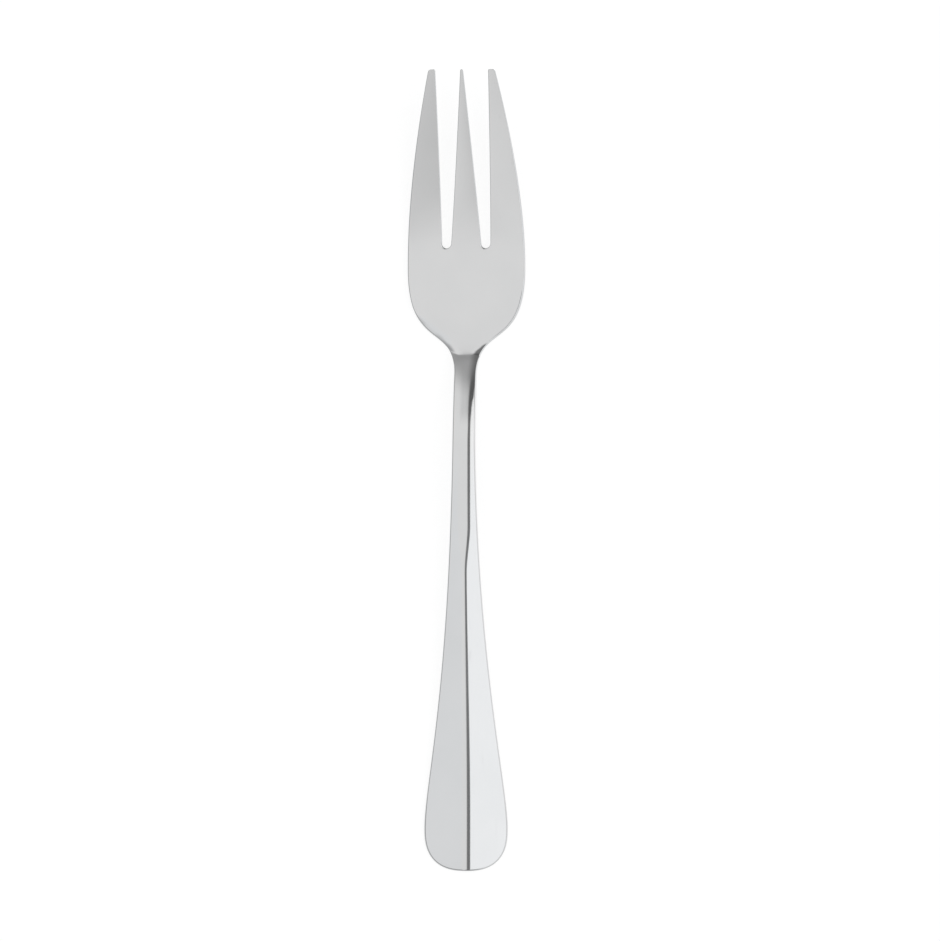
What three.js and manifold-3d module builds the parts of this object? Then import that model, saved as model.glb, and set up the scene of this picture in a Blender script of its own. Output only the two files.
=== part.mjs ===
// A three-tine serving fork lying on its back, in millimetres.
// +Y runs from the handle end to the tine tips, +X to the right, +Z out of the front face.

import * as THREE from 'three';
import { mergeVertices } from 'three/addons/utils/BufferGeometryUtils.js';
import Module from 'manifold-3d';

const wasm = await Module();
wasm.setup();

// Lengths along the fork
const HANDLE_LENGTH = 148.9; // handle end to the crease under the head
const HEAD_LENGTH = 30.6; // crease to the bottom of the slots
const TINE_LENGTH = 50.5; // bottom of the slots to the tips
const END_LENGTH = 12.2; // rounded handle end, up to the widest place
const NECK_LENGTH = 12.9; // straight neck, up to the crease
const SHOULDER_FOOT = 6.1; // shoulder curve starts this far before the crease
const SHOULDER_LENGTH = 30.9; // shoulder curve, from the neck to the widest place of the head

// Widths across the fork
const HANDLE_WIDTH = 24.3;
const NECK_WIDTH = 6.4;
const HEAD_WIDTH = 34.1;
const TIP_SPAN = 19.1; // over the three tips
const OUTER_TIP_WIDTH = 1.95;
const MIDDLE_TIP_WIDTH = 0.85;
const MIDDLE_ROOT_WIDTH = 8.65; // middle tine beside the bottom of the slots
const SLOT_ROOT_WIDTH = 2.7;

// Heights over the table
const ARCH_HEIGHT = 6.2; // back of the handle at its highest place
const TIP_HEIGHT = 14.2; // back of the tips
const DISH = 0.15; // sides of the head above its middle

// Thicknesses
const RIDGE_THICKNESS = 3.4; // at the ridge, by the handle end
const EDGE_THICKNESS = 1.6; // at the sides of the handle's widest place
const CREST_THICKNESS = 3.7; // at the ridge, at its highest place
const HEAD_THICKNESS = 2.2;
const TIP_THICKNESS = 1.6;

// Places along the profile
const END_REST = 14; // flat back at the handle end
const ARCH_BEFORE = 36.6; // back is at its highest this far before the crease
const CREST_BEFORE = 27.6; // ridge is at its highest this far before the crease
const FLAT_BEFORE = 63; // ridge starts to be flat on top this far before the crease
const FLAT_RUN = 14; // and has its full flat after this length
const BELLY_START = 19; // flat back of the head starts this far past the crease
const BELLY_LENGTH = 7;

// Rounding
const EDGE_ROUND = 0.45; // edges of the handle and the head
const END_EDGE_ROUND = 0.65; // edges at the handle end
const TIP_EDGE_ROUND = 0.2; // edges at the tips
const END_RIDGE_ROUND = 1.8; // rounding beside the top of the ridge, at the handle end
const RIDGE_ROUND = 1.05; // the same in the middle of the handle
const NECK_RIDGE_ROUND = 1.4; // the same before the neck
const CREASE_ROUND = 4.8; // the same at the crease
const RIDGE_FLAT = 0.8; // half of the flat top of the ridge before the neck
const CREASE_FLAT = 0.15; // the same at the crease
const ROUND_BLEND = 22; // ridge widens into the neck over this length before the crease
const OUTER_TIP_ROUND = 0.75; // outer corners of the outer tips
const TIP_ROUND = 0.4; // other corners of the tips
const CREASE_FILLET = 0.1;
const CREASE_ZONE = 8; // neck and head are joined within this length on both sides of the crease
const SOFT_WIDTH = 3.7; // soft edges of the shoulders, beside the crease
const SOFT_NARROW = 2.2; // the same where they start to run out
const SOFT_FROM = 2; // soft edges start to run out this far past the crease
const SOFT_RUN = 2.5; // and run out over this length

// Angles and curve shapes
const CREASE_SLOPE = Math.tan(THREE.MathUtils.degToRad(25)); // neck where it meets the head
const TIP_SLOPE = Math.tan(THREE.MathUtils.degToRad(20)); // tines at their tips
const SOFT_SLOPE = 0.115; // fall of the shoulders' soft edges, at the very edge
const TIP_TAPER = 0.23; // outer edge of the tines, sideways per length, at the tips
const END_POWER = 2.55; // squareness of the handle end: 2 is an ellipse
const FLAT_SHARE = 1 / 3; // flat middle of the head, as a share of its half width

// Pull of each curve at its start and its end, as shares of the curve's own length
const FLANK_PULL = [0.1, 0.612];
const SHOULDER_PULL = [0.495, 0.792];
const OUTER_EDGE_PULL = [0.148, 0.544];
const ARCH_RISE_PULL = [0.4, 0.4];
const ARCH_FALL_PULL = [0.42, 0.55];
const TINE_PULL = [0.2, 0.33];
const RIDGE_RISE_PULL = [0.4, 0.4];
const RIDGE_FALL_PULL = [0.36, 0.32];

// Fineness of the mesh
const ROUND_STEPS = 4;
const SLOT_STEPS = 10;
const CORNER_STEPS = 4;
const END_FACE = 0.12; // rounded end is cut flat where it is this short
const HALVINGS = 40; // steps of the search for a place on a curve
const NUDGE = 0.01; // step for the slope of the outline
const MOST_ROUND = 0.45; // most of an edge's thickness that one rounding takes
const MOST_INSET = 0.4; // most of the half width that an edge rounding takes
const MOST_RIDGE = 0.7; // most of the front's half width that the crown of the ridge takes
const LEAST_TOP = 0.25; // column beside the middle, at least this share of the crown from it
const CLOSEST_ROWS = 0.01; // cross-sections nearer to each other are left out
const SLOT_PAST = 5; // slot cutters run this far past the fork

const FORK_LENGTH = HANDLE_LENGTH + HEAD_LENGTH + TINE_LENGTH;
const NECK_START = HANDLE_LENGTH - NECK_LENGTH;
const SHOULDER_START = HANDLE_LENGTH - SHOULDER_FOOT;
const SHOULDER_END = SHOULDER_START + SHOULDER_LENGTH;
const ARCH_PLACE = HANDLE_LENGTH - ARCH_BEFORE;
const CREST_PLACE = HANDLE_LENGTH - CREST_BEFORE;
const FLAT_START = HANDLE_LENGTH - FLAT_BEFORE;
const BELLY_FROM = HANDLE_LENGTH + BELLY_START;
const BELLY_TO = BELLY_FROM + BELLY_LENGTH;
const SLOT_BOTTOM = HANDLE_LENGTH + HEAD_LENGTH;
const HANDLE_HALF = HANDLE_WIDTH / 2;
const NECK_HALF = NECK_WIDTH / 2;
const HEAD_HALF = HEAD_WIDTH / 2;
const TIP_HALF = TIP_SPAN / 2;
const FACET_SLOPE = (RIDGE_THICKNESS - EDGE_THICKNESS) / (HANDLE_HALF - RIDGE_ROUND / 2);

function mix(a, b, share) {
  return a + (b - a) * share;
}

// Smooth step from 0 at `from` to 1 at `to`
function smooth(from, to, value) {
  const share = THREE.MathUtils.clamp((value - from) / (to - from), 0, 1);
  return share * share * (3 - 2 * share);
}

// A cubic curve between two places along the fork, with a value, a slope and a pull at each end
function curve(from, to, pull) {
  const length = to.place - from.place;
  const reach = [pull[0] * length, pull[1] * length];
  const places = [from.place, from.place + reach[0], to.place - reach[1], to.place];
  const values = [from.value, from.value + from.slope * reach[0], to.value - to.slope * reach[1], to.value];
  const at = (points, t) => {
    const s = 1 - t;
    const shares = [s * s * s, 3 * s * s * t, 3 * s * t * t, t * t * t];
    return points.reduce((sum, point, index) => sum + shares[index] * point, 0);
  };
  return (place) => {
    let low = 0;
    let high = 1;
    for (let step = 0; step < HALVINGS; step += 1) {
      const middle = (low + high) / 2;
      if (at(places, middle) < place) {
        low = middle;
      } else {
        high = middle;
      }
    }
    return at(values, (low + high) / 2);
  };
}

// Outline: half width at each place along the fork
const flank = curve(
  { place: END_LENGTH, value: HANDLE_HALF, slope: 0 },
  { place: NECK_START, value: NECK_HALF, slope: 0 },
  FLANK_PULL,
);
const shoulder = curve(
  { place: SHOULDER_START, value: NECK_HALF, slope: 0 },
  { place: SHOULDER_END, value: HEAD_HALF, slope: 0 },
  SHOULDER_PULL,
);
const outerEdge = curve(
  { place: SHOULDER_END, value: HEAD_HALF, slope: 0 },
  { place: FORK_LENGTH, value: TIP_HALF, slope: -TIP_TAPER },
  OUTER_EDGE_PULL,
);

function halfWidth(place) {
  if (place < END_LENGTH) {
    const along = 1 - Math.max(place, END_FACE) / END_LENGTH;
    return HANDLE_HALF * Math.pow(1 - Math.pow(along, END_POWER), 1 / END_POWER);
  }
  if (place < NECK_START) {
    return flank(place);
  }
  if (place < SHOULDER_START) {
    return NECK_HALF;
  }
  if (place < SHOULDER_END) {
    return shoulder(place);
  }
  const corner = Math.max(place - (FORK_LENGTH - OUTER_TIP_ROUND), 0);
  const cut = OUTER_TIP_ROUND - Math.sqrt(Math.max(OUTER_TIP_ROUND ** 2 - corner ** 2, 0));
  return outerEdge(place) - cut;
}

// Side profile: back and ridge above the table
const archRise = curve(
  { place: END_REST, value: 0, slope: 0 },
  { place: ARCH_PLACE, value: ARCH_HEIGHT, slope: 0 },
  ARCH_RISE_PULL,
);
const archFall = curve(
  { place: ARCH_PLACE, value: ARCH_HEIGHT, slope: 0 },
  { place: BELLY_FROM, value: 0, slope: 0 },
  ARCH_FALL_PULL,
);
const tineRise = curve(
  { place: BELLY_TO, value: 0, slope: 0 },
  { place: FORK_LENGTH, value: TIP_HEIGHT, slope: TIP_SLOPE },
  TINE_PULL,
);

function backLine(place) {
  if (place < END_REST) {
    return 0;
  }
  if (place < ARCH_PLACE) {
    return archRise(place);
  }
  if (place < BELLY_FROM) {
    return archFall(place);
  }
  return place < BELLY_TO ? 0 : tineRise(place);
}

const CREST_HEIGHT = backLine(CREST_PLACE) + CREST_THICKNESS;
const CREASE_HEIGHT = backLine(HANDLE_LENGTH) + HEAD_THICKNESS;
const ridgeRise = curve(
  { place: END_REST, value: RIDGE_THICKNESS, slope: 0 },
  { place: CREST_PLACE, value: CREST_HEIGHT, slope: 0 },
  RIDGE_RISE_PULL,
);
const ridgeFall = curve(
  { place: CREST_PLACE, value: CREST_HEIGHT, slope: 0 },
  { place: HANDLE_LENGTH, value: CREASE_HEIGHT, slope: -CREASE_SLOPE },
  RIDGE_FALL_PULL,
);

function ridgeLine(place) {
  if (place < END_REST) {
    return RIDGE_THICKNESS;
  }
  return place < CREST_PLACE ? ridgeRise(place) : ridgeFall(place);
}

// How far the sides of the dished head stand above its middle
function dish(x, place) {
  const share = (Math.abs(x) / HEAD_HALF - FLAT_SHARE) / (1 - FLAT_SHARE);
  return place > HANDLE_LENGTH ? DISH * Math.max(share, 0) ** 2 : 0;
}

function backHeight(x, place) {
  return backLine(place) + dish(x, place);
}

// Crown of the ridge at one place: half of its flat top, and the rounding beside it
function crown(place) {
  const upHandle = smooth(END_LENGTH, FLAT_START, place);
  const toCrease = smooth(HANDLE_LENGTH - ROUND_BLEND, HANDLE_LENGTH, place);
  const flattened = smooth(FLAT_START, FLAT_START + FLAT_RUN, place);
  const narrowed = smooth(HANDLE_LENGTH - ROUND_BLEND, NECK_START + ROUND_BLEND / 4, place);
  const handleRound = mix(mix(END_RIDGE_ROUND, RIDGE_ROUND, upHandle), NECK_RIDGE_ROUND, flattened);
  return {
    flat: mix(RIDGE_FLAT * flattened, CREASE_FLAT, narrowed),
    round: mix(handleRound, CREASE_ROUND, toCrease),
  };
}

// Fall of the two facets from the crown between them
function facetFall(x, place) {
  const { flat, round } = crown(place);
  const across = Math.max(Math.abs(x) - flat, 0);
  return FACET_SLOPE * (across < round ? across ** 2 / (2 * round) : across - round / 2);
}

function outlineSlope(place) {
  return (halfWidth(place + NUDGE) - halfWidth(place - NUDGE)) / (2 * NUDGE);
}

// Fall of the head's edges beside the crease, where the shoulders leave the neck
function softEdge(x, place) {
  const depth = (halfWidth(place) - Math.abs(x)) / Math.hypot(1, outlineSlope(place));
  const from = HANDLE_LENGTH + SOFT_FROM;
  const width = mix(SOFT_WIDTH, SOFT_NARROW, smooth(HANDLE_LENGTH, from, place));
  const left = 1 - smooth(from, from + SOFT_RUN, place);
  return ((SOFT_SLOPE * width) / 2) * left * Math.max(1 - depth / width, 0) ** 2;
}

// Front: the plate of the head, and the ridged handle that rises from it at the crease
function frontHeight(x, place) {
  const thinning = Math.max(place - SLOT_BOTTOM, 0) / TINE_LENGTH;
  const thickness = mix(HEAD_THICKNESS, TIP_THICKNESS, thinning);
  const plate = backLine(Math.max(place, HANDLE_LENGTH)) + thickness + dish(x, place) - softEdge(x, place);
  const past = Math.max(place - HANDLE_LENGTH, 0);
  const handle = ridgeLine(Math.min(place, HANDLE_LENGTH)) - CREASE_SLOPE * past - facetFall(x, place);
  if (Math.abs(place - HANDLE_LENGTH) > CREASE_ZONE) {
    return place < HANDLE_LENGTH ? handle : plate;
  }
  const above = handle - plate;
  return plate + (above + Math.hypot(above, CREASE_FILLET)) / 2;
}

// Radius of the rounded edges, which are softest at the handle end and grow sharper towards the tips
function edgeRound(place) {
  const pastEnd = smooth(END_LENGTH, 2 * END_LENGTH, place);
  const toTip = smooth(SLOT_BOTTOM + TINE_LENGTH / 4, FORK_LENGTH - OUTER_TIP_ROUND, place);
  return mix(mix(END_EDGE_ROUND, EDGE_ROUND, pastEnd), TIP_EDGE_ROUND, toTip);
}

// Cross-section at one place: a closed loop of points, from the right edge over the front and back below
function section(place) {
  const half = halfWidth(place);
  const edge = frontHeight(half, place) - backHeight(half, place);
  const round = Math.min(edgeRound(place), MOST_ROUND * edge);
  const inset = Math.min(round * Math.hypot(1, outlineSlope(place)), MOST_INSET * half);
  const inner = half - inset;
  const ridge = crown(place);
  const foot = Math.min(ridge.flat + ridge.round, MOST_RIDGE * inner);
  const top = Math.max(ridge.flat, LEAST_TOP * foot);
  const toEnd = Math.min(place, FORK_LENGTH - place, round);
  const endDrop = round - Math.sqrt(round ** 2 - (round - toEnd) ** 2);

  const rim = [];
  for (let step = 0; step < ROUND_STEPS; step += 1) {
    const turn = (step / ROUND_STEPS) * (Math.PI / 2);
    rim.push({ x: half - inset * (1 - Math.cos(turn)), drop: round * (1 - Math.sin(turn)) });
  }
  const columns = (inside) => [...rim, ...inside.map((x) => ({ x, drop: 0 }))];
  const facet = [inner, mix(foot, inner, 2 / 3), mix(foot, inner, 1 / 3)];
  const front = columns([...facet, foot, (foot + top) / 2, top]);
  const back = columns([inner, (inner * 2) / 3, inner / 3]);
  const both = (side) => [
    ...side,
    { x: 0, drop: 0 },
    ...side.map(({ x, drop }) => ({ x: -x, drop })).reverse(),
  ];
  const over = both(front).map(({ x, drop }) => {
    return new THREE.Vector3(x, place, frontHeight(x, place) - Math.max(drop, endDrop));
  });
  const under = both(back).map(({ x, drop }) => {
    return new THREE.Vector3(x, place, backHeight(x, place) + Math.max(drop, endDrop));
  });
  return [...over, ...under.reverse()];
}

// Places of the cross-sections: the start of each stretch and the number of steps in it
function places(stretches, last) {
  const list = [];
  stretches.forEach(([start, steps], index) => {
    const stop = index + 1 < stretches.length ? stretches[index + 1][0] : last;
    for (let step = 0; step < steps; step += 1) {
      list.push(mix(start, stop, step / steps));
    }
  });
  return [...list, last];
}

// Distances from a rounded end, closest together at the end itself
function endPlaces(radius) {
  const list = [];
  for (let step = 0; step < ROUND_STEPS; step += 1) {
    list.push(radius * (1 - Math.cos((step / ROUND_STEPS) * (Math.PI / 2))));
  }
  return list;
}

const body = places(
  [
    [END_EDGE_ROUND, 3],
    [END_LENGTH / 4, 4],
    [END_LENGTH, 1],
    [END_REST, 10],
    [FLAT_START, 6],
    [CREST_PLACE, 6],
    [NECK_START, 6],
    [SHOULDER_START, 13],
    [HANDLE_LENGTH, 16],
    [HANDLE_LENGTH + CREASE_ZONE, 6],
    [BELLY_FROM, 4],
    [SHOULDER_END, 1],
    [BELLY_TO, 2],
    [SLOT_BOTTOM, 14],
    [FORK_LENGTH - OUTER_TIP_ROUND, 4],
  ],
  FORK_LENGTH - TIP_EDGE_ROUND,
);
const tips = endPlaces(TIP_EDGE_ROUND).map((place) => FORK_LENGTH - place);
const rows = [...endPlaces(END_EDGE_ROUND), ...body, ...tips]
  .sort((a, b) => a - b)
  .filter((place, index, list) => index === 0 || place - list[index - 1] > CLOSEST_ROWS);

// Skin of the blank: quads between neighbouring sections, and a fan of triangles over each end
function blankGeometry() {
  const loops = rows.map(section);
  const count = loops[0].length;
  const points = loops.flat();
  const faces = [];
  for (let row = 0; row + 1 < loops.length; row += 1) {
    for (let column = 0; column < count; column += 1) {
      const a = row * count + column;
      const b = row * count + ((column + 1) % count);
      faces.push(a, a + count, b, b, a + count, b + count);
    }
  }
  const cap = (row, outward) => {
    const centre = points.length;
    const middle = new THREE.Vector3();
    loops[row].forEach((point) => middle.add(point));
    points.push(middle.divideScalar(count));
    for (let column = 0; column < count; column += 1) {
      const a = row * count + column;
      const b = row * count + ((column + 1) % count);
      faces.push(centre, ...(outward ? [b, a] : [a, b]));
    }
  };
  cap(0, false);
  cap(loops.length - 1, true);
  const geometry = new THREE.BufferGeometry().setFromPoints(points);
  geometry.setIndex(faces);
  return geometry;
}

// One slot between two tines: a round bottom, straight sides and rounded corners at the tips
function slotGeometry(side) {
  const rootRadius = SLOT_ROOT_WIDTH / 2;
  const rootX = MIDDLE_ROOT_WIDTH / 2 + rootRadius;
  const rootY = SLOT_BOTTOM + rootRadius;
  const past = FORK_LENGTH + SLOT_PAST;
  const innerTip = MIDDLE_TIP_WIDTH / 2;
  const outerTip = TIP_HALF - OUTER_TIP_WIDTH;
  const outline = [];
  for (let step = 0; step <= SLOT_STEPS; step += 1) {
    const turn = Math.PI + (step / SLOT_STEPS) * Math.PI;
    outline.push(new THREE.Vector2(rootX + rootRadius * Math.cos(turn), rootY + rootRadius * Math.sin(turn)));
  }
  const corner = (x, outward) => {
    const arc = [];
    for (let step = 0; step <= CORNER_STEPS; step += 1) {
      const turn = (step / CORNER_STEPS) * (Math.PI / 2);
      const flare = outward * TIP_ROUND * (1 - Math.cos(turn));
      arc.push(new THREE.Vector2(x + flare, FORK_LENGTH - TIP_ROUND * (1 - Math.sin(turn))));
    }
    arc.push(new THREE.Vector2(x + outward * TIP_ROUND, past));
    return arc;
  };
  outline.push(...corner(outerTip, 1), ...corner(innerTip, -1).reverse());
  const shape = new THREE.Shape(outline.map((point) => new THREE.Vector2(side * point.x, point.y)));
  const depth = TIP_HEIGHT + HEAD_THICKNESS + 2 * SLOT_PAST;
  const prism = new THREE.ExtrudeGeometry(shape, { depth, bevelEnabled: false });
  prism.translate(0, 0, -SLOT_PAST);
  prism.deleteAttribute('normal');
  prism.deleteAttribute('uv');
  return mergeVertices(prism);
}

function solid(geometry) {
  return new wasm.Manifold(
    new wasm.Mesh({
      numProp: 3,
      vertProperties: Float32Array.from(geometry.getAttribute('position').array),
      triVerts: Uint32Array.from(geometry.getIndex().array),
    }),
  );
}

function geometryOf(body) {
  const mesh = body.getMesh();
  const geometry = new THREE.BufferGeometry();
  geometry.setAttribute('position', new THREE.BufferAttribute(mesh.vertProperties, 3));
  geometry.setIndex(new THREE.BufferAttribute(mesh.triVerts, 1));
  geometry.translate(0, -FORK_LENGTH / 2, 0);
  geometry.computeVertexNormals();
  return geometry;
}

const blank = solid(blankGeometry());
const forkBody = blank.subtract(solid(slotGeometry(1))).subtract(solid(slotGeometry(-1)));

const steel = new THREE.MeshStandardMaterial({ roughness: 0.08, metalness: 1 });
steel.color = new THREE.Color(0.7, 0.7, 0.7);
steel.name = 'steel';

const fork = new THREE.Mesh(geometryOf(forkBody), steel);
fork.name = 'serving_fork';

const object = new THREE.Group();
object.name = 'serving_fork_object';
object.add(fork);

export default object;
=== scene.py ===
"""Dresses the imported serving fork: polished steel on a white table, in soft studio light."""

import math

import bpy
import numpy as np
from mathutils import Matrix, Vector
from mathutils.geometry import delaunay_2d_cdt


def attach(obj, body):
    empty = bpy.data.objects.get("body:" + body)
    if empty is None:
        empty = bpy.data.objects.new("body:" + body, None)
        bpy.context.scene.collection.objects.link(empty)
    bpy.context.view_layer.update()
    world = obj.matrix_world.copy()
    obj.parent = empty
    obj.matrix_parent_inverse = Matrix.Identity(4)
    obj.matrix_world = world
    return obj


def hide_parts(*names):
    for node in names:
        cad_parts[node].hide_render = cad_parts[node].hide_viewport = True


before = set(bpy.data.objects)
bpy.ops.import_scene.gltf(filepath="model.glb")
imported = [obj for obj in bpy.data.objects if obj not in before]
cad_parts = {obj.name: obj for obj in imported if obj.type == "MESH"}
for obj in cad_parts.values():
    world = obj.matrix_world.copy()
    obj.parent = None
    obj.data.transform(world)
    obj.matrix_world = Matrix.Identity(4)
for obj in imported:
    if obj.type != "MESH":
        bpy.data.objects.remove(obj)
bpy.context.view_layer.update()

# Sizes of the fork in millimetres, as its solid has them: lengths along the fork
HANDLE_LENGTH = 148.9
HEAD_LENGTH = 30.6
TINE_LENGTH = 50.5
END_LENGTH = 12.2
NECK_LENGTH = 12.9
SHOULDER_FOOT = 6.1
SHOULDER_LENGTH = 30.9

# Widths
HANDLE_WIDTH = 24.3
NECK_WIDTH = 6.4
HEAD_WIDTH = 34.1
TIP_SPAN = 19.1
OUTER_TIP_WIDTH = 1.95
MIDDLE_TIP_WIDTH = 0.85
MIDDLE_ROOT_WIDTH = 8.65
SLOT_ROOT_WIDTH = 2.7

# Heights and thicknesses
ARCH_HEIGHT = 6.2
TIP_HEIGHT = 14.2
DISH = 0.15
RIDGE_THICKNESS = 3.4
EDGE_THICKNESS = 1.6
CREST_THICKNESS = 3.7
HEAD_THICKNESS = 2.2
TIP_THICKNESS = 1.6

# Places along the profile
END_REST = 14
ARCH_BEFORE = 36.6
CREST_BEFORE = 27.6
BELLY_START = 19
BELLY_LENGTH = 7

# Rounding
EDGE_ROUND = 0.45
END_EDGE_ROUND = 0.65
TIP_EDGE_ROUND = 0.2
END_RIDGE_ROUND = 1.8
RIDGE_ROUND = 1.05
NECK_RIDGE_ROUND = 1.4
CREASE_ROUND = 4.8
RIDGE_FLAT = 0.8
CREASE_FLAT = 0.15
ROUND_BLEND = 22
FLAT_BEFORE = 63
FLAT_RUN = 14
OUTER_TIP_ROUND = 0.75
TIP_ROUND = 0.4
CREASE_FILLET = 0.1
CREASE_ZONE = 8
SOFT_WIDTH = 3.7
SOFT_NARROW = 2.2
SOFT_SLOPE = 0.115
SOFT_FROM = 2
SOFT_RUN = 2.5

# Wear and roundings that only the scene has. Pairs are at the crease, and further out on the shoulder
TINE_CROWN_RADIUS = 370
LEFT_EDGE_ROUND = (0.25, 0.5)
RIGHT_EDGE_ROUND = 0.3
LEFT_WORN_WIDTH = (2.4, 4)
LEFT_WORN_SLOPE = (0.47, 0.35)
RIGHT_WORN_WIDTH = 0.66
RIGHT_WORN_SLOPE = 0.45

# Places where the wear of the shoulders starts and stops, and where it changes
LEFT_WORN_FROM = HANDLE_LENGTH - 4
LEFT_WORN_TO = HANDLE_LENGTH + 8
RIGHT_WORN_FROM = HANDLE_LENGTH + 3.3
RIGHT_WORN_TO = HANDLE_LENGTH + 16
WORN_WIDENS = (HANDLE_LENGTH - 0.5, HANDLE_LENGTH + 5)
WORN_FLATTENS = (HANDLE_LENGTH + 2.5, HANDLE_LENGTH + 6)
WORN_RISE = 3
WORN_FADE = 5.5

# Slot edges get rounder at the lower left: its shares of left and down, and where it begins and ends in radii
ROOT_EDGE_ROUND = 0.55
ROOT_SIDE = (0.6, 0.8)
ROOT_SPREAD = (0.2, 0.9)

# Angles and curve shapes
CREASE_SLOPE = math.tan(math.radians(25))
TIP_SLOPE = math.tan(math.radians(20))
TIP_TAPER = 0.23
END_POWER = 2.55
FLAT_SHARE = 1 / 3
FLANK_PULL = (0.1, 0.612)
SHOULDER_PULL = (0.495, 0.792)
OUTER_EDGE_PULL = (0.148, 0.544)
ARCH_RISE_PULL = (0.4, 0.4)
ARCH_FALL_PULL = (0.42, 0.55)
TINE_PULL = (0.2, 0.33)
RIDGE_RISE_PULL = (0.4, 0.4)
RIDGE_FALL_PULL = (0.36, 0.32)

# Sizes that follow from the ones above
FORK_LENGTH = HANDLE_LENGTH + HEAD_LENGTH + TINE_LENGTH
NECK_START = HANDLE_LENGTH - NECK_LENGTH
SHOULDER_START = HANDLE_LENGTH - SHOULDER_FOOT
SHOULDER_END = SHOULDER_START + SHOULDER_LENGTH
ARCH_PLACE = HANDLE_LENGTH - ARCH_BEFORE
CREST_PLACE = HANDLE_LENGTH - CREST_BEFORE
FLAT_START = HANDLE_LENGTH - FLAT_BEFORE
FLAT_FULL = FLAT_START + FLAT_RUN
BLEND_START = HANDLE_LENGTH - ROUND_BLEND
FLAT_NARROWED = NECK_START + ROUND_BLEND / 4
BELLY_FROM = HANDLE_LENGTH + BELLY_START
BELLY_TO = BELLY_FROM + BELLY_LENGTH
SLOT_BOTTOM = HANDLE_LENGTH + HEAD_LENGTH
SLOT_RADIUS = SLOT_ROOT_WIDTH / 2
SLOT_X = MIDDLE_ROOT_WIDTH / 2 + SLOT_RADIUS
SLOT_CENTRE = SLOT_BOTTOM + SLOT_RADIUS
CROWN_FULL = SLOT_CENTRE + TINE_LENGTH / 3
TIP_ROUND_FROM = SLOT_BOTTOM + TINE_LENGTH / 4
TIP_ROUND_TO = FORK_LENGTH - OUTER_TIP_ROUND
HANDLE_HALF = HANDLE_WIDTH / 2
NECK_HALF = NECK_WIDTH / 2
HEAD_HALF = HEAD_WIDTH / 2
TIP_HALF = TIP_SPAN / 2
INNER_TIP = MIDDLE_TIP_WIDTH / 2
OUTER_TIP = TIP_HALF - OUTER_TIP_WIDTH
FACET_SLOPE = (RIDGE_THICKNESS - EDGE_THICKNESS) / (HANDLE_HALF - RIDGE_ROUND / 2)

# Fineness of the mesh, in millimetres, steps or shares of the margin
SIDE_SPACING = 0.6
SLOT_SPACING = 0.25
CORNER_SPACING = 0.1
ROUND_STEPS = 6
ROW_SPACING = 1.0
COLUMN_SPACING = 0.8
RIDGE_SPACING = 0.35
CREASE_SPACING = 0.2
CREASE_ROWS = (-12, 20)
SHOULDER_ROWS = (0.4, 0.8)
EDGE_MARGIN = 0.3
CURVE_STEPS = 200
OUTLINE_STEPS = 4000
HALVINGS = 40
NUDGE = 0.02
MERGE_DISTANCE = 1e-6

MILLIMETRE = 0.001

# Noise on the steel: grains per metre, which the stretch draws out along the fork, and turns in radians
POLISH = {"scale": 2600, "detail": 3.0, "stretch": 60}
CLOUDS = {"scale": 55, "detail": 3.0}
WAVES = {"scale": 70, "detail": 1.0, "stretch": 2.5}
FIRST_SCRATCHES = {"scale": 1500, "detail": 2.0, "stretch": 90, "rotation": 0.5}
SECOND_SCRATCHES = {"scale": 1700, "detail": 2.0, "stretch": 110, "rotation": -0.9}

# Steps over the noise: the values it starts and stops at, and the roughness there
FIRST_SCRATCH_STEP = (0.68, 0.76)
SECOND_SCRATCH_STEP = (0.69, 0.77)
TINT_STEP = (0.3, 0.7)
SMUDGE_ROUGHNESS = (0.45, 0.75, 0.0, 0.025)
LINE_ROUGHNESS = (0.3, 0.7, 0.0, 0.02)
SCRATCH_ROUGHNESS = 0.06
BASE_ROUGHNESS = 0.06

# Colours of the steel, and heights of its fine relief in metres
DARK_STEEL = (0.696, 0.699, 0.702, 1)
LIGHT_STEEL = (0.720, 0.722, 0.724, 1)
WAVE_HEIGHT = 9e-6
LINE_HEIGHT = 1.2e-7
SCRATCH_DEPTH = 4e-7

# The table: half its side in metres, its colour, and the glow that keeps it white in the picture
TABLE_HALF = 4.0
TABLE_COLOUR = (0.3, 0.3, 0.3, 1)
TABLE_GLOW = 0.82
WHITE = (1, 1, 1, 1)

# Studio light: the boxes left and right overhead. Each step has two angles in degrees, and the values there
LEFT_BOX_LEVEL = (-22, -8, 0.925, 0.92)
LEFT_BOX_END = (-48, -28, 0.5, 1.0)
RIGHT_BOX_START = (8, 10)
RIGHT_BOX_LEVEL = 1.18

# Shades in the boxes that the tines, the neck and the lower edges of shoulders and slots mirror
TINE_SHADE = (-42, -7, 0.56, 0.0)
TINE_SHADE_SIDE = (-9.5, -2.5)
NECK_LEAN = (-20, -8, -3.5, 0.0)
NECK_DIM = (8, 30, 1.0, 0.95)
NECK_SHADE = (27, 46, 1.0, 0.51)
NECK_SIDE_SHADE = (-16, 0, 0.0, 0.25)
NECK_SIDE_EDGE = (5, 8, 1.0, 0.0)
NECK_SIDE_START = (12, 22)
NECK_SIDE_END = (38, 46, 1.0, 0.0)
LEFT_LOW_ALONG = (-37, -10, 1.0, 0.0)
LEFT_LOW_ACROSS = (-20, -12, 1.0, 0.0)
LEFT_LOW_LEVEL = 0.46
RIGHT_LOW_ALONG = (-38, -16, 1.0, 0.0)
RIGHT_LOW_ACROSS = (17, 27, 1.0, 0.0)
RIGHT_LOW_LEVEL = 0.55

# The room around the boxes, with a light on its right side
ROOM_START = (47, 53)
ROOM_LEVEL = (-30, 10, 0.42, 0.2)
SIDE_START = (0, 20)
SIDE_SHIFT = (-60, -45, 20.0, 0.0)
SIDE_HANDLE_END = (-75, -60)
SIDE_TIP_END = (25, 45, 1.0, 0.0)
SIDE_LEVEL = (5, 18, 0.9, 1.15)

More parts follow.
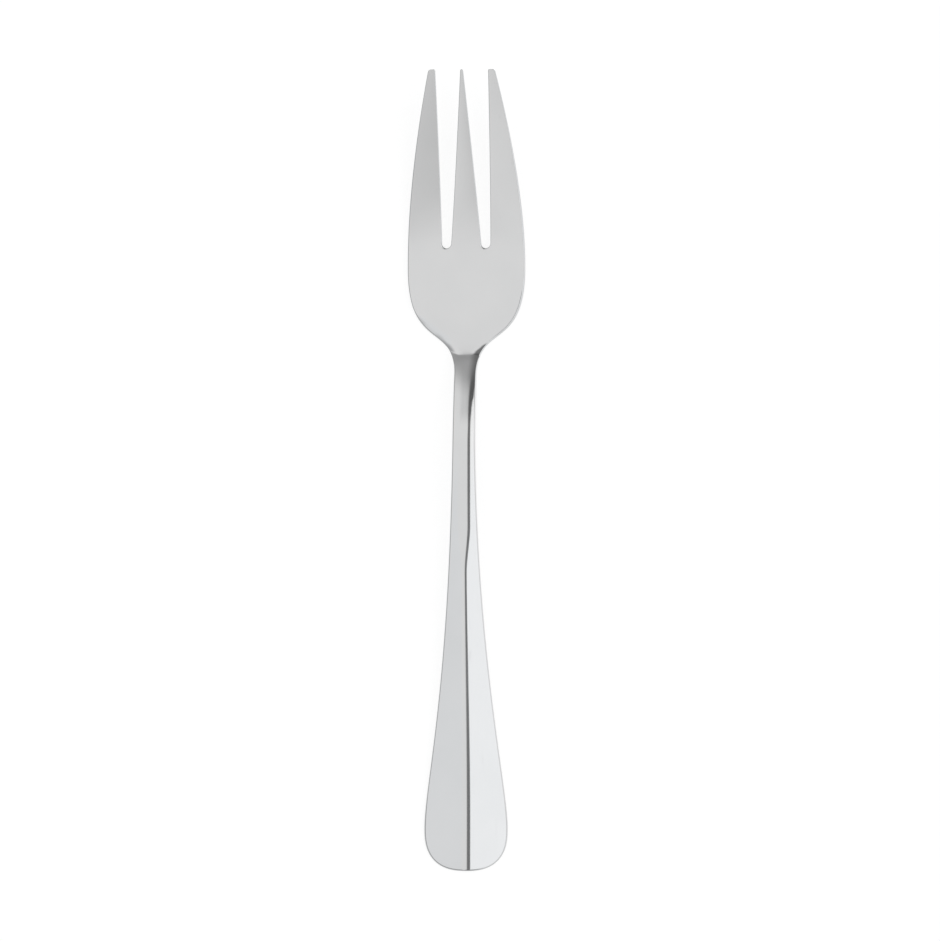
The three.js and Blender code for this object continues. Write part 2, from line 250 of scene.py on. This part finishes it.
# The dark gap between the boxes: where its two edges lie, how sharp they are, and its level
GAP_LEFT = (4, 14, -1.0, 0.2)
GAP_RIGHT = (26, 42, 8.3, 50.0)
GAP_SHARP_EDGE = (-1.6, 1.6)
GAP_SOFT_EDGE = (-7, 5)
GAP_SOFTENS = (32, 44)
GAP_RIGHT_EDGE = (-1.0, 1.0, 1.0, 0.0)
GAP_LEVEL = (5, 25, 0.22, 0.12)
GAP_BRIGHTENS = (36, 48, 0.0, 0.07)

# The horizon, and the slightly bluer light on both sides of the head
HORIZON_START = (66, 86)
HORIZON_LEVEL = (78, 88, 0.8, 0.35)
COOL_MIDDLE = -6.0
COOL_SIDES = (6, 14)
COOL_ALONG = (-6, 4, 1.0, 0.0)
COOL_COLOUR = {"Red": 0.983, "Green": 0.995, "Blue": 1.007}

# The camera: angles in radians, lens and sensor in millimetres, and distances in metres
CAMERA_TILT = math.radians(6.1)
CAMERA_ROLL = 0.0014
CAMERA_LENS = 200
CAMERA_SENSOR = 36
CAMERA_DISTANCE = 1.504
CAMERA_AIM = Vector((0.00136, 0.00064, 0.004))
CAMERA_SEES_TO = 20


def smooth(start, stop, value):
    """A smooth step from 0 at start to 1 at stop."""
    share = np.clip((np.asarray(value, float) - start) / (stop - start), 0, 1)
    return share * share * (3 - 2 * share)


def mix(a, b, share):
    return a + (b - a) * share


def curve(start, stop, pull):
    """A cubic curve between two places along the fork. Each end is (place, value, slope)."""
    length = stop[0] - start[0]
    reach = (pull[0] * length, pull[1] * length)
    places = (start[0], start[0] + reach[0], stop[0] - reach[1], stop[0])
    values = (start[1], start[1] + start[2] * reach[0], stop[1] - stop[2] * reach[1], stop[1])

    def at(points, t):
        s = 1 - t
        return s**3 * points[0] + 3 * s * s * t * points[1] + 3 * s * t * t * points[2] + t**3 * points[3]

    def value(place):
        place = np.asarray(place, float)
        low = np.zeros_like(place)
        high = np.ones_like(place)
        for _ in range(HALVINGS):
            middle = (low + high) / 2
            under = at(places, middle) < place
            low = np.where(under, middle, low)
            high = np.where(under, high, middle)
        return at(values, (low + high) / 2)

    return value


flank = curve((END_LENGTH, HANDLE_HALF, 0), (NECK_START, NECK_HALF, 0), FLANK_PULL)
shoulder = curve((SHOULDER_START, NECK_HALF, 0), (SHOULDER_END, HEAD_HALF, 0), SHOULDER_PULL)
outer_edge = curve((SHOULDER_END, HEAD_HALF, 0), (FORK_LENGTH, TIP_HALF, -TIP_TAPER), OUTER_EDGE_PULL)
arch_rise = curve((END_REST, 0, 0), (ARCH_PLACE, ARCH_HEIGHT, 0), ARCH_RISE_PULL)
arch_fall = curve((ARCH_PLACE, ARCH_HEIGHT, 0), (BELLY_FROM, 0, 0), ARCH_FALL_PULL)
tine_rise = curve((BELLY_TO, 0, 0), (FORK_LENGTH, TIP_HEIGHT, TIP_SLOPE), TINE_PULL)


def half_width(place):
    """Half width of the outline, without the slots and the corners of the tips."""
    place = np.asarray(place, float)
    along = 1 - np.clip(place, 0, END_LENGTH) / END_LENGTH
    end = HANDLE_HALF * (1 - along**END_POWER) ** (1 / END_POWER)
    spans = [place < END_LENGTH, place < NECK_START, place < SHOULDER_START, place < SHOULDER_END]
    shapes = [end, flank(place), np.full_like(place, NECK_HALF), shoulder(place)]
    return np.select(spans, shapes, outer_edge(place))


def edge_slope(place):
    """How fast the outline's half width grows along the fork."""
    return (half_width(place + NUDGE) - half_width(np.maximum(place - NUDGE, 0))) / (2 * NUDGE)


def back_line(place):
    """Height of the back's middle above the table."""
    place = np.asarray(place, float)
    spans = [place < END_REST, place < ARCH_PLACE, place < BELLY_FROM, place < BELLY_TO]
    shapes = [np.zeros_like(place), arch_rise(place), arch_fall(place), np.zeros_like(place)]
    return np.select(spans, shapes, tine_rise(place))


CREASE_HEIGHT = float(back_line(HANDLE_LENGTH)) + HEAD_THICKNESS
CREST_HEIGHT = float(back_line(CREST_PLACE)) + CREST_THICKNESS
ridge_rise = curve((END_REST, RIDGE_THICKNESS, 0), (CREST_PLACE, CREST_HEIGHT, 0), RIDGE_RISE_PULL)
ridge_fall = curve(
    (CREST_PLACE, CREST_HEIGHT, 0), (HANDLE_LENGTH, CREASE_HEIGHT, -CREASE_SLOPE), RIDGE_FALL_PULL
)


def ridge_line(place):
    """Height of the ridge above the table."""
    place = np.asarray(place, float)
    return np.select(
        [place < END_REST, place < CREST_PLACE],
        [np.full_like(place, RIDGE_THICKNESS), ridge_rise(place)],
        ridge_fall(place),
    )


def dish(x, place):
    """How far the sides of the dished head stand above its middle."""
    share = (np.abs(x) / HEAD_HALF - FLAT_SHARE) / (1 - FLAT_SHARE)
    return np.where(place > HANDLE_LENGTH, DISH * np.maximum(share, 0) ** 2, 0)


def back_height(x, place):
    return back_line(place) + dish(x, place)


def facet_fall(x, place):
    """Fall of the two facets from the rounded ridge between them, which has a flat top on the neck."""
    flattened = smooth(FLAT_START, FLAT_FULL, place)
    rounding = mix(END_RIDGE_ROUND, RIDGE_ROUND, smooth(END_LENGTH, FLAT_START, place))
    rounding = mix(rounding, NECK_RIDGE_ROUND, flattened)
    rounding = mix(rounding, CREASE_ROUND, smooth(BLEND_START, HANDLE_LENGTH, place))
    narrowed = smooth(BLEND_START, FLAT_NARROWED, place)
    flat = mix(RIDGE_FLAT * flattened, CREASE_FLAT, narrowed)
    across = np.maximum(np.abs(x) - flat, 0)
    return FACET_SLOPE * np.where(across < rounding, across**2 / (2 * rounding), across - rounding / 2)


def worn(start, stop, place):
    """How much the edge of a shoulder is worn at each place, between the two places given."""
    return smooth(start, start + WORN_RISE, place) * (1 - smooth(stop, stop + WORN_FADE, place))


def softness(place):
    """How much of the soft edges beside the crease is left at each place past it."""
    narrow_place = HANDLE_LENGTH + SOFT_FROM
    return 1 - smooth(narrow_place, narrow_place + SOFT_RUN, place)


def soft_edge(x, place):
    """Fall of the head's edges: soft beside the crease, and worn along the shoulders."""
    depth = (half_width(place) - np.abs(x)) / np.hypot(1, edge_slope(place))

    def fall(slope, width):
        return slope * width / 2 * np.maximum(1 - depth / width, 0) ** 2

    width = mix(SOFT_WIDTH, SOFT_NARROW, smooth(HANDLE_LENGTH, HANDLE_LENGTH + SOFT_FROM, place))
    left_slope = mix(*LEFT_WORN_SLOPE, smooth(*WORN_FLATTENS, place))
    left_width = mix(*LEFT_WORN_WIDTH, smooth(*WORN_WIDENS, place))
    left = fall(left_slope, left_width) * worn(LEFT_WORN_FROM, LEFT_WORN_TO, place)
    right = fall(RIGHT_WORN_SLOPE, RIGHT_WORN_WIDTH) * worn(RIGHT_WORN_FROM, RIGHT_WORN_TO, place)
    return fall(SOFT_SLOPE, width) * softness(place) + np.where(x < 0, left, right)


def slot_side(place, root, tip):
    """x of one straight side of the slot at each place."""
    share = (place - SLOT_CENTRE) / (FORK_LENGTH - TIP_ROUND - SLOT_CENTRE)
    return mix(root, tip, np.clip(share, 0, 1))


def tine_fall(x, place):
    """Fall of each tine from its slightly crowned middle to its sides."""
    across = np.abs(x)
    inner = slot_side(place, SLOT_X - SLOT_RADIUS, INNER_TIP)
    outer = slot_side(place, SLOT_X + SLOT_RADIUS, OUTER_TIP)
    half = np.maximum(half_width(place), outer + TIP_ROUND)
    off_middle = np.where(across < (inner + outer) / 2, across, across - (outer + half) / 2)
    begun = smooth(SLOT_CENTRE, CROWN_FULL, place)
    return begun * off_middle**2 / (2 * TINE_CROWN_RADIUS)


def front_height(x, place):
    """Height of the front: the head's plate, and the ridged handle that rises from it at the crease."""
    x = np.asarray(x, float)
    place = np.asarray(place, float)
    thinning = np.maximum(place - SLOT_BOTTOM, 0) / TINE_LENGTH
    back = back_line(np.maximum(place, HANDLE_LENGTH))
    plate = back + mix(HEAD_THICKNESS, TIP_THICKNESS, thinning) + dish(x, place)
    plate = plate - soft_edge(x, place) - tine_fall(x, place)
    past = np.maximum(place - HANDLE_LENGTH, 0)
    handle = ridge_line(np.minimum(place, HANDLE_LENGTH)) - CREASE_SLOPE * past - facet_fall(x, place)
    above = handle - plate
    filleted = plate + (above + np.sqrt(above**2 + CREASE_FILLET**2)) / 2
    spans = [place < HANDLE_LENGTH - CREASE_ZONE, place > HANDLE_LENGTH + CREASE_ZONE]
    return np.select(spans, [handle, plate], filleted)


def surface_normal(height, x, place):
    """Upward unit normals of a height field."""
    slope_x = (height(x + NUDGE, place) - height(x - NUDGE, place)) / (2 * NUDGE)
    slope_y = (height(x, place + NUDGE) - height(x, place - NUDGE)) / (2 * NUDGE)
    normals = np.stack([-slope_x, -slope_y, np.ones_like(slope_x)], axis=1)
    return normals / np.linalg.norm(normals, axis=1, keepdims=True)


def evenly(points, spacing):
    """Points at even steps along a polyline, without its last point."""
    points = np.asarray(points, float)
    steps = np.linalg.norm(np.diff(points, axis=0), axis=1)
    run = np.concatenate([[0], np.cumsum(steps)])
    count = max(1, math.ceil(run[-1] / spacing))
    marks = np.linspace(0, run[-1], count + 1)[:-1]
    return np.stack([np.interp(marks, run, points[:, axis]) for axis in (0, 1)], axis=1)


def right_outline():
    """Right half of the outline in plan, from the middle of the handle end to the middle of the tips."""
    turn = np.linspace(0, math.pi / 2, CURVE_STEPS)
    end_x = HANDLE_HALF * np.sin(turn) ** (2 / END_POWER)
    end_places = END_LENGTH * (1 - np.cos(turn) ** (2 / END_POWER))
    end = np.stack([end_x, end_places], axis=1)
    side_places = np.linspace(END_LENGTH, FORK_LENGTH - OUTER_TIP_ROUND, OUTLINE_STEPS)
    side = np.stack([half_width(side_places), side_places], axis=1)
    corner_places = FORK_LENGTH - OUTER_TIP_ROUND * (1 - np.sin(turn))
    corner_x = outer_edge(corner_places) - OUTER_TIP_ROUND * (1 - np.cos(turn))
    outer_corner = np.stack([corner_x, corner_places], axis=1)
    inner_corner = np.stack(
        [OUTER_TIP + TIP_ROUND * (1 - np.sin(turn)), FORK_LENGTH - TIP_ROUND * (1 - np.cos(turn))], axis=1
    )
    root_turn = np.linspace(0, -math.pi, CURVE_STEPS)
    root = np.stack(
        [SLOT_X + SLOT_RADIUS * np.cos(root_turn), SLOT_CENTRE + SLOT_RADIUS * np.sin(root_turn)], axis=1
    )
    middle_corner = np.stack(
        [INNER_TIP - TIP_ROUND * (1 - np.cos(turn)), FORK_LENGTH - TIP_ROUND * (1 - np.sin(turn))], axis=1
    )
    middle = np.array([[0, FORK_LENGTH]])
    return np.concatenate(
        [
            evenly(np.concatenate([end, side]), SIDE_SPACING),
            evenly(np.concatenate([side[-1:], outer_corner]), CORNER_SPACING),
            evenly(np.concatenate([outer_corner[-1:], inner_corner]), CORNER_SPACING),
            evenly(np.concatenate([inner_corner[-1:], root[:1]]), SIDE_SPACING),
            evenly(root, SLOT_SPACING),
            evenly(np.concatenate([root[-1:], middle_corner[:1]]), SIDE_SPACING),
            evenly(middle_corner, CORNER_SPACING),
            evenly(np.concatenate([middle_corner[-1:], middle]), CORNER_SPACING),
            middle,
        ]
    )


def closed_outline():
    """The whole outline, anticlockwise seen from the front."""
    right = right_outline()
    left = right[-2:0:-1] * (-1, 1)
    return np.concatenate([right, left])


def inward_normals(loop):
    along = np.roll(loop, -1, axis=0) - np.roll(loop, 1, axis=0)
    along /= np.linalg.norm(along, axis=1, keepdims=True)
    return np.stack([-along[:, 1], along[:, 0]], axis=1)


def edge_round(x, place):
    """Radius of the rounded edges: largest at the handle end, and smallest at the tips and slots."""
    rounding = mix(END_EDGE_ROUND, EDGE_ROUND, smooth(END_LENGTH, 2 * END_LENGTH, place))
    rounding = mix(rounding, TIP_EDGE_ROUND, smooth(TIP_ROUND_FROM, TIP_ROUND_TO, place))
    left_round = mix(*LEFT_EDGE_ROUND, smooth(*WORN_FLATTENS, place))
    left = mix(rounding, left_round, worn(LEFT_WORN_FROM, LEFT_WORN_TO, place))
    beside_crease = smooth(HANDLE_LENGTH - SOFT_FROM, HANDLE_LENGTH, place) * softness(place)
    rounding = np.where(x < 0, left, mix(rounding, RIGHT_EDGE_ROUND, beside_crease))
    beside_slot = (place > SLOT_BOTTOM - NUDGE) & (np.abs(x) < half_width(place) - OUTER_TIP_WIDTH / 2)
    off_root = (np.copysign(SLOT_X, x) - x, SLOT_CENTRE - place)
    lower_left = (ROOT_SIDE[0] * off_root[0] + ROOT_SIDE[1] * off_root[1]) / SLOT_RADIUS
    slot_round = mix(TIP_EDGE_ROUND, ROOT_EDGE_ROUND, smooth(*ROOT_SPREAD, lower_left))
    return np.where(beside_slot, slot_round, rounding)


def inner_points():
    """Points inside the rounded edges: rows are closest at the crease, and columns at the ridge."""
    near_crease = np.arange(*CREASE_ROWS) * CREASE_SPACING
    rows = np.concatenate(
        [
            np.arange(ROW_SPACING, HANDLE_LENGTH + near_crease[0] - ROW_SPACING / 2, ROW_SPACING),
            HANDLE_LENGTH + near_crease,
            np.arange(HANDLE_LENGTH + near_crease[-1] + ROW_SPACING / 2, FORK_LENGTH, ROW_SPACING),
        ]
    )
    ridge = np.arange(0, NECK_HALF, RIDGE_SPACING)
    side = np.arange(ridge[-1] + COLUMN_SPACING, HEAD_HALF, COLUMN_SPACING)
    half = np.concatenate([ridge, side])
    columns = np.concatenate([-half[:0:-1], half])
    x, place = (grid.ravel() for grid in np.meshgrid(columns, rows))
    keep_off = edge_round(x, place) + EDGE_MARGIN
    across = np.abs(x)
    inside = across < half_width(place) - keep_off * np.hypot(1, edge_slope(place))
    inside &= (place > keep_off) & (place < FORK_LENGTH - keep_off)
    in_slot = (across > slot_side(place, SLOT_X - SLOT_RADIUS, INNER_TIP) - keep_off) & (
        across < slot_side(place, SLOT_X + SLOT_RADIUS, OUTER_TIP) + keep_off
    )
    beside_root = np.hypot(across - SLOT_X, place - SLOT_CENTRE) < SLOT_RADIUS + keep_off
    inside &= ~(in_slot & (place > SLOT_CENTRE)) & ~beside_root
    return np.stack([x[inside], place[inside]], axis=1)


def shoulder_points(outline, inward, rounding):
    """Two rows of points along each shoulder, just inside its rounded edge."""
    on_shoulder = (outline[:, 1] > HANDLE_LENGTH) & (outline[:, 1] < SHOULDER_END)
    rows = [outline + inward * (rounding + share * EDGE_MARGIN)[:, None] for share in SHOULDER_ROWS]
    return np.concatenate([row[on_shoulder] for row in rows])


def face_points(height, sign, outline, inward, rounding, inside):
    """Points and normals of one face: the loops of its rounded edge, from the wall in, then its inside."""
    outward = np.column_stack([-inward, np.zeros(len(outline))])
    points = []
    normals = []
    for step in range(ROUND_STEPS + 1):
        turn = step / ROUND_STEPS * math.pi / 2
        plan = outline + inward * (rounding * (1 - math.cos(turn)))[:, None]
        z = height(plan[:, 0], plan[:, 1]) - sign * rounding * (1 - math.sin(turn))
        points.append(np.column_stack([plan, z]))
        flat = sign * surface_normal(height, plan[:, 0], plan[:, 1])
        normals.append(math.cos(turn) * outward + math.sin(turn) * flat)
    points.append(np.column_stack([inside, height(inside[:, 0], inside[:, 1])]))
    normals.append(sign * surface_normal(height, inside[:, 0], inside[:, 1]))
    return np.concatenate(points), np.concatenate(normals)


def skin_faces(outline, inward, rounding, inside):
    """Corners of the skin's polygons, as numbers of the front face's points and then the back face's."""
    count = len(outline)
    rim_start = ROUND_STEPS * count
    back_start = rim_start + count + len(inside)
    following = np.roll(np.arange(count), -1)
    faces = []

    def add_strip(lower, upper):
        for here, after in zip(range(count), following):
            faces.append((lower + here, lower + after, upper + after, upper + here))

    for lower in range(0, rim_start, count):
        upper = lower + count
        add_strip(lower, upper)
        add_strip(back_start + upper, back_start + lower)
    add_strip(back_start, 0)

    rim = outline + inward * rounding[:, None]
    plan = [Vector(point) for point in np.concatenate([rim, inside])]
    _, _, triangles, origin, _, _ = delaunay_2d_cdt(plan, [], [list(range(count))], 1, MERGE_DISTANCE)
    for triangle in triangles:
        corners = [rim_start + origin[corner][0] for corner in triangle]
        faces.append(corners)
        faces.append([back_start + corner for corner in reversed(corners)])
    return [[int(corner) for corner in face] for face in faces]


def fork_mesh():
    """The closed skin of the fork: two faces, rounded edges and the wall between them, with true normals."""
    outline = closed_outline()
    inward = inward_normals(outline)
    rounding = edge_round(outline[:, 0], outline[:, 1])
    inside = np.concatenate([inner_points(), shoulder_points(outline, inward, rounding)])
    plan = (outline, inward, rounding, inside)
    front_points, front_normals = face_points(front_height, 1, *plan)
    back_points, back_normals = face_points(back_height, -1, *plan)
    points = np.concatenate([front_points, back_points])
    points[:, 1] -= FORK_LENGTH / 2
    normals = np.concatenate([front_normals, back_normals])
    normals /= np.linalg.norm(normals, axis=1, keepdims=True)
    mesh = bpy.data.meshes.new("serving_fork_body")
    mesh.from_pydata((points * MILLIMETRE).tolist(), [], skin_faces(*plan))
    mesh.shade_smooth()
    mesh.normals_split_custom_set_from_vertices(normals.tolist())
    mesh.validate(clean_customdata=False)
    return mesh


class Nodes:
    """Adds nodes to a node tree. An input given as a socket is linked, and one given as a number is set."""

    def __init__(self, tree):
        self.tree = tree
        tree.nodes.clear()

    def add(self, kind, inputs=None, **settings):
        node = self.tree.nodes.new(kind)
        for name, value in settings.items():
            setattr(node, name, value)
        for key, value in (inputs or {}).items():
            if isinstance(value, bpy.types.NodeSocket):
                self.tree.links.new(value, node.inputs[key])
            else:
                node.inputs[key].default_value = value
        return node

    def math(self, operation, a, b=0.0):
        return self.add("ShaderNodeMath", {0: a, 1: b}, operation=operation).outputs[0]

    def product(self, first, *others):
        for factor in others:
            first = self.math("MULTIPLY", first, factor)
        return first

    def step(self, value, start, stop, low=0.0, high=1.0):
        """A smooth step from low at start to high at stop."""
        inputs = {"Value": value, "From Min": start, "From Max": stop, "To Min": low, "To Max": high}
        return self.add("ShaderNodeMapRange", inputs, interpolation_type="SMOOTHSTEP").outputs["Result"]

    def blend(self, share, a, b, kind="FLOAT"):
        """A number or colour that goes from a to b as share goes from 0 to 1."""
        node = self.add("ShaderNodeMix", {"Factor": share, "A": a, "B": b}, data_type=kind)
        return node.outputs["Result"]


def polished_steel():
    """Polished steel with fine lines along the fork, soft waves, smudges and a few scratches."""
    material = bpy.data.materials.new("polished_steel")
    material.use_nodes = True
    nodes = Nodes(material.node_tree)
    place = nodes.add("ShaderNodeTexCoord").outputs["Object"]

    def noise(scale, detail, stretch=1.0, rotation=0.0):
        turn = (0, 0, rotation)
        grain = (scale, scale / stretch, scale)
        mapping = nodes.add("ShaderNodeMapping", {"Vector": place, "Rotation": turn, "Scale": grain})
        inputs = {"Vector": mapping.outputs[0], "Scale": 1.0, "Detail": detail}
        return nodes.add("ShaderNodeTexNoise", inputs).outputs["Fac"]

    polish = noise(**POLISH)
    clouds = noise(**CLOUDS)
    first_scratches = nodes.step(noise(**FIRST_SCRATCHES), *FIRST_SCRATCH_STEP)
    second_scratches = nodes.step(noise(**SECOND_SCRATCHES), *SECOND_SCRATCH_STEP)
    scratches = nodes.math("MAXIMUM", first_scratches, second_scratches)

    smudges = nodes.step(clouds, *SMUDGE_ROUGHNESS)
    lines = nodes.step(polish, *LINE_ROUGHNESS)
    scuffs = nodes.product(scratches, SCRATCH_ROUGHNESS)
    scuffed = nodes.math("ADD", scuffs, BASE_ROUGHNESS)
    roughness = nodes.math("ADD", nodes.math("ADD", smudges, lines), scuffed)

    def bump(height, distance, under=None, **settings):
        inputs = {"Strength": 1.0, "Distance": distance, "Height": height}
        if under is not None:
            inputs["Normal"] = under
        return nodes.add("ShaderNodeBump", inputs, **settings).outputs[0]

    normal = bump(noise(**WAVES), WAVE_HEIGHT)
    normal = bump(polish, LINE_HEIGHT, normal)
    normal = bump(scratches, SCRATCH_DEPTH, normal, invert=True)
    tint = nodes.blend(nodes.step(clouds, *TINT_STEP), DARK_STEEL, LIGHT_STEEL, "RGBA")
    inputs = {"Base Color": tint, "Metallic": 1.0, "Roughness": roughness, "Normal": normal}
    shader = nodes.add("ShaderNodeBsdfPrincipled", inputs)
    nodes.add("ShaderNodeOutputMaterial", {"Surface": shader.outputs[0]})
    return material


def seen_directly(nodes):
    """1 for rays from the camera and mirrored or transmitted ones, and 0 for light that falls on things."""
    path = nodes.add("ShaderNodeLightPath").outputs
    mirrored = nodes.math("MAXIMUM", path["Is Glossy Ray"], path["Is Transmission Ray"])
    return nodes.math("MAXIMUM", path["Is Camera Ray"], mirrored)


def white_table():
    """A wide white floor under the fork that keeps its shadow."""
    corners = [(x * TABLE_HALF, y * TABLE_HALF, 0) for x, y in ((-1, -1), (1, -1), (1, 1), (-1, 1))]
    mesh = bpy.data.meshes.new("table")
    mesh.from_pydata(corners, [], [(0, 1, 2, 3)])
    table = bpy.data.objects.new("table", mesh)
    bpy.context.scene.collection.objects.link(table)
    material = bpy.data.materials.new("white_table")
    material.use_nodes = True
    nodes = Nodes(material.node_tree)
    strength = nodes.product(seen_directly(nodes), TABLE_GLOW)
    matte = nodes.add("ShaderNodeBsdfDiffuse", {"Color": TABLE_COLOUR})
    glow = nodes.add("ShaderNodeEmission", {"Color": WHITE, "Strength": strength})
    both = nodes.add("ShaderNodeAddShader", {0: matte.outputs[0], 1: glow.outputs[0]})
    nodes.add("ShaderNodeOutputMaterial", {"Surface": both.outputs[0]})
    mesh.materials.append(material)


def box_light(nodes, across, along):
    """Level of the boxes overhead, with the shades in them."""
    left_box = nodes.product(nodes.step(across, *LEFT_BOX_LEVEL), nodes.step(across, *LEFT_BOX_END))
    tine_shade = nodes.product(nodes.step(along, *TINE_SHADE), nodes.step(across, *TINE_SHADE_SIDE))
    left_box = nodes.math("SUBTRACT", left_box, tine_shade)
    on_right = nodes.step(across, *RIGHT_BOX_START)
    box = nodes.blend(on_right, left_box, RIGHT_BOX_LEVEL)

    leaning = nodes.math("ADD", along, nodes.step(across, *NECK_LEAN))
    neck_light = nodes.product(nodes.step(along, *NECK_DIM), nodes.step(leaning, *NECK_SHADE))
    box = nodes.product(box, neck_light)
    neck_side = nodes.product(
        nodes.step(along, *NECK_SIDE_START),
        nodes.step(along, *NECK_SIDE_END),
        nodes.step(across, *NECK_SIDE_SHADE),
        nodes.step(across, *NECK_SIDE_EDGE),
    )
    box = nodes.product(box, nodes.math("SUBTRACT", 1.0, neck_side))

    left_low = nodes.product(nodes.step(along, *LEFT_LOW_ALONG), nodes.step(across, *LEFT_LOW_ACROSS))
    box = nodes.blend(left_low, box, LEFT_LOW_LEVEL)
    right_low = nodes.product(nodes.step(along, *RIGHT_LOW_ALONG), nodes.step(across, *RIGHT_LOW_ACROSS))
    return nodes.blend(nodes.product(right_low, on_right), box, RIGHT_LOW_LEVEL)


def room_light(nodes, across, along):
    """Level of the room around the boxes, with the light on its right side."""
    reach = nodes.product(nodes.step(along, *SIDE_TIP_END), nodes.step(along, *SIDE_HANDLE_END))
    past_start = nodes.math("SUBTRACT", across, nodes.step(along, *SIDE_SHIFT))
    side = nodes.product(nodes.step(past_start, *SIDE_START), reach)
    return nodes.blend(side, nodes.step(across, *ROOM_LEVEL), nodes.step(along, *SIDE_LEVEL))


def dark_gap(nodes, across, along):
    """Share of the dark gap in each direction, and its level."""
    past_left = nodes.math("SUBTRACT", across, nodes.step(along, *GAP_LEFT))
    past_right = nodes.math("SUBTRACT", across, nodes.step(along, *GAP_RIGHT))
    sharp = nodes.step(past_left, *GAP_SHARP_EDGE)
    soft = nodes.step(past_left, *GAP_SOFT_EDGE)
    begun = nodes.blend(nodes.step(along, *GAP_SOFTENS), sharp, soft)
    share = nodes.product(begun, nodes.step(past_right, *GAP_RIGHT_EDGE))
    level = nodes.math("ADD", nodes.step(along, *GAP_LEVEL), nodes.step(along, *GAP_BRIGHTENS))
    return share, level


def studio_light():
    """Soft boxes overhead, left and right, with the dark gap between them where the camera stands.

    Angles count from overhead: across to the fork's right, along to its tips, and steep to any side.
    """
    world = bpy.data.worlds.new("studio")
    bpy.context.scene.world = world
    world.use_nodes = True
    nodes = Nodes(world.node_tree)
    direction = nodes.add("ShaderNodeTexCoord").outputs["Generated"]
    axes = nodes.add("ShaderNodeSeparateXYZ", {0: direction}).outputs
    across = nodes.math("DEGREES", nodes.math("ARCTAN2", axes["X"], axes["Z"]))
    along = nodes.math("DEGREES", nodes.math("ARCTAN2", axes["Y"], axes["Z"]))
    steep = nodes.math("DEGREES", nodes.math("ARCCOSINE", axes["Z"]))
    from_camera = nodes.add("ShaderNodeLightPath").outputs["Is Camera Ray"]

    box = box_light(nodes, across, along)
    level = nodes.blend(nodes.step(steep, *ROOM_START), box, room_light(nodes, across, along))
    gap_share, gap_level = dark_gap(nodes, across, along)
    level = nodes.blend(gap_share, level, gap_level)
    level = nodes.blend(nodes.step(steep, *HORIZON_START), level, nodes.step(steep, *HORIZON_LEVEL))
    shown = nodes.blend(from_camera, level, 1.0)

    off_head = nodes.math("ABSOLUTE", nodes.math("SUBTRACT", across, COOL_MIDDLE))
    mirrored = nodes.math("SUBTRACT", 1.0, from_camera)
    cool = nodes.product(nodes.step(off_head, *COOL_SIDES), nodes.step(along, *COOL_ALONG), mirrored)
    channels = {name: nodes.blend(cool, 1.0, amount) for name, amount in COOL_COLOUR.items()}
    colour = nodes.add("ShaderNodeCombineColor", channels).outputs["Color"]
    background = nodes.add("ShaderNodeBackground", {"Color": colour, "Strength": shown})
    nodes.add("ShaderNodeOutputWorld", {"Surface": background.outputs[0]})


def photo_camera():
    """The photo's view: from above, six degrees towards the fork's right side, through a long lens."""
    camera = bpy.data.objects.new("camera", bpy.data.cameras.new("camera"))
    camera.data.lens = CAMERA_LENS
    camera.data.sensor_width = CAMERA_SENSOR
    camera.data.clip_end = CAMERA_SEES_TO
    towards = Vector((math.sin(CAMERA_TILT), 0, math.cos(CAMERA_TILT)))
    camera.location = CAMERA_AIM + CAMERA_DISTANCE * towards
    camera.rotation_euler = (0, CAMERA_TILT, CAMERA_ROLL)
    bpy.context.scene.collection.objects.link(camera)
    bpy.context.scene.camera = camera


fork = bpy.data.objects.new("serving_fork_body", fork_mesh())
bpy.context.scene.collection.objects.link(fork)
fork.data.materials.append(polished_steel())
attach(fork, "root")
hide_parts("serving_fork")

white_table()
studio_light()
photo_camera()
bpy.context.scene.view_settings.view_transform = "Standard"
